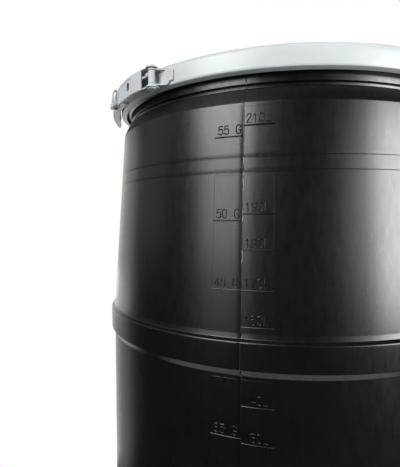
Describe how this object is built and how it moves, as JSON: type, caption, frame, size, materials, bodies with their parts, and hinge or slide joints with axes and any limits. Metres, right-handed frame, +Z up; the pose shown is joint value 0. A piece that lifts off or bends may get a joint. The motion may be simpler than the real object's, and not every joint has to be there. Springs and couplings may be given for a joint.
{
  "type": "open head drum",
  "caption": "Tall black plastic drum with rolling hoops and volume marks, a lift-off lid with a gasket, and a split steel closing ring with an over-centre lever and a safety catch.",
  "frame": {"origin": "on the drum's axis, at the floor that the drum stands on", "axes": "+Z up along the drum's axis. -Y is the front, where the moulding seam and the volume marks are. -X is the left, and the latch is at the front left."},
  "size_m": [0.5823, 0.58, 0.97],
  "materials": {
    "shell_plastic": "black blow-moulded polyethylene, satin with a fine orange-peel surface",
    "lid_plastic": "black moulded polyethylene, satin",
    "gasket_rubber": "soft foam rubber",
    "ring_steel": "light grey satin coating on steel strip",
    "latch_steel": "light grey satin coating on pressed steel",
    "pin_steel": "light grey satin coating on steel pins"
  },
  "bodies": {
    "drum": {"drum_shell": "shell_plastic"},
    "lid": {"lid": "lid_plastic", "lid_gasket": "gasket_rubber"},
    "ring": {"ring_band_right": "ring_steel", "hinge_bracket": "latch_steel", "pivot_pin": "pin_steel", "pivot_sleeve": "pin_steel"},
    "ring_free_half": {"ring_band_left": "ring_steel", "anchor_bracket": "latch_steel", "anchor_pin": "pin_steel"},
    "lever": {"lever": "latch_steel", "link_pin": "pin_steel", "catch_pin": "pin_steel"},
    "draw_link": {"draw_link": "latch_steel"},
    "safety_catch": {"safety_catch": "latch_steel"}
  },
  "joints": [
    {"name": "lid_lift", "type": "slide", "parent": "drum", "child": "lid", "axis": [0, 0, 1], "range_m": [0, 0.4]},
    {"name": "ring_lift", "type": "slide", "parent": "lid", "child": "ring", "axis": [0, 0, 1], "range_m": [0, 0.12]},
    {"name": "lever_swing", "type": "hinge", "parent": "ring", "child": "lever", "pos_m": [-0.15976, -0.2342, 0.9525], "axis": [0, 0, 1], "range_deg": [0, 165]},
    {"name": "ring_open", "type": "hinge", "parent": "ring", "child": "ring_free_half", "pos_m": [0.16335, 0.21599, 0.9525], "axis": [0, 0, -1], "range_deg": [0, 4]},
    {"name": "link_swing", "type": "hinge", "parent": "lever", "child": "draw_link", "pos_m": [-0.21867, -0.17085, 0.9525], "axis": [0, 0, -1], "range_deg": [0, 3]},
    {"name": "catch_swing", "type": "hinge", "parent": "lever", "child": "safety_catch", "pos_m": [-0.24083, -0.16245, 0.939], "axis": [0.5592, -0.829, 0], "range_deg": [0, 100]}
  ],
  "couplings": [
    {"joint": "ring_open", "follows": "lever_swing", "ratio": 0.02424}
  ]
}
